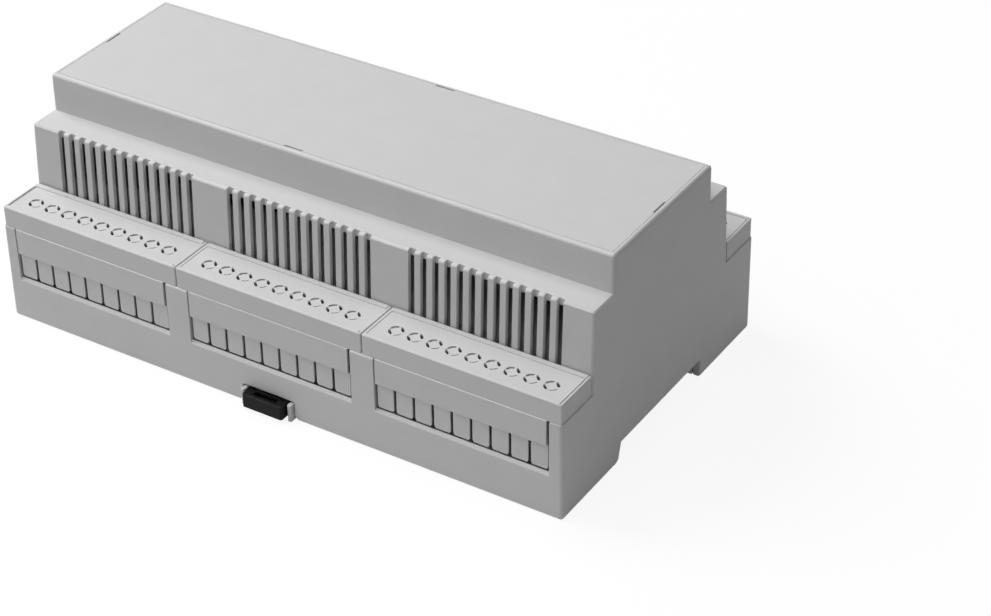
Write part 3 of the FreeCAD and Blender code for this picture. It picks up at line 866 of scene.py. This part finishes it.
@dataclass
class Shell:
    """Stepped housing and the base plate that snaps into it.

    Attributes:
        body: Name of the body that both move with.
        shell_finish: Finish of the housing.
        base_finish: Finish of the base plate.
        base_edge: Radius of the base plate's edges.
    """

    body: str = "housing"
    shell_finish: MouldedPlastic = MouldedPlastic("shell_plastic", grey=0.6)
    base_finish: MouldedPlastic = MouldedPlastic("base_plastic", grey=0.58)
    base_edge: float = 0.25 * MILLIMETRE

    def build(self) -> list[bpy.types.Object]:
        """Make both pieces."""
        return [
            VentedHousing("stepped_housing", "housing", self.body, Slot.SHELL, self.shell_finish,
                          flush_node="top_panel").build(),
            Moulding("snap_in_base", "base_plate", self.body, Slot.BASE, self.base_finish,
                     self.base_edge).build(),
        ]


@dataclass
class TopPanel:
    """Flush panel in the top of the housing.

    Attributes:
        finish: Its finish.
        edge_radius: Radius of its edges.
    """

    finish: MouldedPlastic = MouldedPlastic("panel_plastic", grey=0.6)
    edge_radius: float = 0.03 * MILLIMETRE

    def build(self) -> list[bpy.types.Object]:
        """Make the panel."""
        return [Moulding("flush_panel", "top_panel", "top_panel", Slot.PANEL, self.finish,
                         self.edge_radius).build()]


@dataclass
class TerminalGuards:
    """Six perforated guards over the terminal rows, three on each long side.

    Attributes:
        finish: Their finish.
        edge_radius: Radius of their edges.
    """

    finish: MouldedPlastic = MouldedPlastic("guard_plastic", grey=0.61)
    edge_radius: float = 0.45 * MILLIMETRE

    def build(self) -> list[bpy.types.Object]:
        """Make the six guards.

        Returns:
            The guards, the front ones first.
        """
        guards = []
        for side in Side:
            for place in Place:
                node = f"guard_{side.value}_{place.value}"
                guard = TerminalGuard(f"terminal_{node}", node, node, Slot.GUARD, self.finish,
                                      self.edge_radius, side=side)
                guards.append(guard.build())
        return guards


@dataclass
class RailClip:
    """Black sprung clip that locks the enclosure to its rail.

    Attributes:
        finish: Its finish.
        edge_radius: Radius of its edges.
    """

    # The clip's rounded edges carry a strong painted highlight.
    finish: MouldedPlastic = MouldedPlastic(
        "clip_plastic", grey=0.006, roughness=0.45, mottling=0.2, painted_edge_highlight=0.6, sheen=0.12,
        grain_size=0.25 * MILLIMETRE, grain_depth=0.006 * MILLIMETRE)
    edge_radius: float = 0.2 * MILLIMETRE

    def build(self) -> list[bpy.types.Object]:
        """Make the clip."""
        return [Moulding("black_rail_clip", "rail_clip", "rail_clip", Slot.CLIP, self.finish,
                         self.edge_radius).build()]


@dataclass
class PhotoCamera:
    """Camera at the photograph's viewpoint.

    Attributes:
        image_width: Width of the photograph in pixels.
        focal_pixels: Focal length in pixels of the photograph.
        position: Place of the camera.
        right: Direction of the picture's right-hand side.
        down: Direction of its lower side.
        sensor_width: Width of the sensor in millimetres.
        nearest: Distance from which things are shown.
        furthest: Distance up to which they are shown.
    """

    image_width: float = 991
    focal_pixels: float = 2560.9
    position: tuple[float, float, float] = (0.30703, -0.4293, 0.35464)
    right: tuple[float, float, float] = (0.84772, 0.53035, -0.0104)
    down: tuple[float, float, float] = (0.28987, -0.47958, -0.82824)
    sensor_width: float = 36.0
    nearest: float = 0.01
    furthest: float = 50.0

    def build(self) -> bpy.types.Object:
        """Make the camera and set it as the scene's own.

        Returns:
            The camera.
        """
        data = bpy.data.cameras.new("photo_camera")
        data.sensor_fit = "HORIZONTAL"
        data.sensor_width = self.sensor_width
        data.lens = self.focal_pixels / self.image_width * self.sensor_width
        data.clip_start = self.nearest
        data.clip_end = self.furthest
        camera = add_object("photo_camera", data)
        right = Vector(self.right).normalized()
        up = -Vector(self.down)
        up = (up - right * up.dot(right)).normalized()
        turn = Matrix((right, up, right.cross(up))).transposed()
        camera.matrix_world = Matrix.Translation(Vector(self.position)) @ turn.to_4x4()
        bpy.context.scene.camera = camera
        return camera


@dataclass
class Lamp:
    """Square soft box that points at the enclosure.

    Attributes:
        name: Name of the lamp.
        place: Its centre.
        width: Side of the square.
        power: Watts.
    """

    name: str
    place: tuple[float, float, float]
    width: float
    power: float

    def build(self) -> bpy.types.Object:
        """Make the lamp.

        Returns:
            The lamp.
        """
        data = bpy.data.lights.new(self.name, "AREA")
        data.shape = "SQUARE"
        data.size = self.width
        data.energy = self.power
        lamp = add_object(self.name, data)
        lamp.location = self.place
        lamp.rotation_mode = "QUATERNION"
        lamp.rotation_quaternion = (-Vector(self.place)).to_track_quat("-Z", "Y")
        return lamp


@dataclass
class Studio:
    """Plain pale floor and soft light around the enclosure.

    Attributes:
        floor_half: Half the floor's side.
        floor_gap: Distance from the feet down to the floor, so that the two don't share a plane.
        paper_grey: Brightness of the white paper around the object, as the object sees it.
        paper_reach: Distance from the middle at which the paper ends.
        paper_fade: Width of its soft border.
        floor_pale: Brightness of the lit part of the floor as the camera sees it.
        floor_white: Brightness of the plain white part.
        floor_glow: Share of plain white in what the camera sees.
        sky: Strength of the even light from all round.
        background: Brightness of what the camera sees behind everything.
        lamps: Soft boxes.
    """

    floor_half: float = 4.0
    floor_gap: float = 0.02 * MILLIMETRE
    paper_grey: float = 0.62
    paper_reach: float = 0.3
    paper_fade: float = 0.2
    floor_pale: float = 0.95
    floor_white: float = 1.02
    floor_glow: float = 0.88
    sky: float = 0.01
    background: float = 1.0
    lamps: list[Lamp] = field(default_factory=lambda: [
        Lamp("left_soft_box", (-1.1, 0.0, 1.4), 1.0, 22.2),
        Lamp("front_left_soft_box", (-0.9, -1.2, 1.0), 1.0, 4.6),
        Lamp("front_soft_box", (0.0, -0.9, 1.5), 1.0, 7.6),
        Lamp("near_left_panel", (-0.35, -0.1, 0.5), 0.3, 0.4),
        Lamp("right_soft_box", (1.2, 0.0, 1.2), 1.0, 1.9),
        Lamp("right_fill", (1.4, 0.2, 0.35), 1.0, 0.4),
    ])

    def seen_directly(self, tree: bpy.types.NodeTree) -> bpy.types.NodeSocket:
        """Tell rays that show the background from those that light the object.

        Args:
            tree: Node tree of the floor or the world.

        Returns:
            A socket that is 1 on camera, glossy and transmission rays.
        """
        path = add_node(tree, "ShaderNodeLightPath")
        seen = path.outputs["Is Camera Ray"]
        for kind in ("Is Glossy Ray", "Is Transmission Ray"):
            either = add_node(tree, "ShaderNodeMath", {0: seen, 1: path.outputs[kind]},
                              operation="MAXIMUM")
            seen = either.outputs["Value"]
        return seen

    def mixed(self, tree: bpy.types.NodeTree, share: float | bpy.types.NodeSocket,
              first: bpy.types.NodeSocket, second: bpy.types.NodeSocket) -> bpy.types.NodeSocket:
        """Mix two shaders.

        Args:
            tree: Node tree of the floor or the world.
            share: Share of the second shader, or the socket that gives it.
            first: Socket of one shader.
            second: Socket of the other.

        Returns:
            The socket of the mixture.
        """
        mixture = add_node(tree, "ShaderNodeMixShader", {"Fac": share, 1: first, 2: second})
        return mixture.outputs["Shader"]

    def floor_material(self) -> bpy.types.Material:
        """Make the floor's material: white where it is seen, paper where it lights the object.

        Returns:
            The material.
        """
        material = bpy.data.materials.new("studio_floor")
        material.use_nodes = True
        tree = material.node_tree
        tree.nodes.remove(tree.nodes["Principled BSDF"])
        pale = add_node(tree, "ShaderNodeBsdfDiffuse", {"Color": grey_colour(self.floor_pale)})
        glow = add_node(tree, "ShaderNodeEmission", {"Color": WHITE, "Strength": self.floor_white})
        white = self.mixed(tree, self.floor_glow, pale.outputs["BSDF"], glow.outputs["Emission"])
        place = add_node(tree, "ShaderNodeTexCoord")
        distance = add_node(tree, "ShaderNodeVectorMath", {0: place.outputs["Object"]},
                            operation="LENGTH")
        brightness = add_node(tree, "ShaderNodeMapRange",
                              {"Value": distance.outputs["Value"],
                               "From Min": self.paper_reach - self.paper_fade / 2,
                               "From Max": self.paper_reach + self.paper_fade / 2,
                               "To Min": self.paper_grey, "To Max": 0.0})
        paper = add_node(tree, "ShaderNodeBsdfDiffuse", {"Color": brightness.outputs["Result"]})
        whole = self.mixed(tree, self.seen_directly(tree), paper.outputs["BSDF"], white)
        tree.links.new(whole, tree.nodes["Material Output"].inputs["Surface"])
        return material

    def floor(self) -> bpy.types.Object:
        """Make the floor just under the enclosure's feet.

        Returns:
            The floor.
        """
        level = CAD_BOX[0].z - self.floor_gap
        sheet = bmesh.new()
        bmesh.ops.create_grid(sheet, x_segments=1, y_segments=1, size=self.floor_half,
                              matrix=Matrix.Translation((0, 0, level)))
        mesh = mesh_of("studio_floor", sheet)
        sheet.free()
        mesh.materials.append(self.floor_material())
        floor = add_object("studio_floor", mesh)
        return floor

    def world(self) -> bpy.types.World:
        """Make the world: white behind everything, and a weaker even light on the object.

        Returns:
            The world.
        """
        world = bpy.data.worlds.new("studio_world")
        world.use_nodes = True
        bpy.context.scene.world = world
        tree = world.node_tree
        tree.nodes.remove(tree.nodes["Background"])
        light, shown = (
            add_node(tree, "ShaderNodeBackground", {"Color": WHITE, "Strength": strength})
            for strength in (self.sky, self.background))
        whole = self.mixed(tree, self.seen_directly(tree), light.outputs["Background"],
                           shown.outputs["Background"])
        tree.links.new(whole, tree.nodes["World Output"].inputs["Surface"])
        return world

    def build(self) -> None:
        """Make the floor, the world and the lamps."""
        self.floor()
        self.world()
        for lamp in self.lamps:
            lamp.build()
        bpy.context.scene.view_settings.view_transform = "Standard"


def main() -> None:
    """Build the enclosure, the studio and the camera."""
    logging.basicConfig(level=logging.INFO, format="%(name)s: %(message)s")
    PhotoCamera().build()
    Studio().build()
    for assembly in (Shell(), TopPanel(), TerminalGuards(), RailClip()):
        pieces = assembly.build()
        log.info("%s: %d pieces", type(assembly).__name__, len(pieces))


if __name__ == "__main__":
    main()
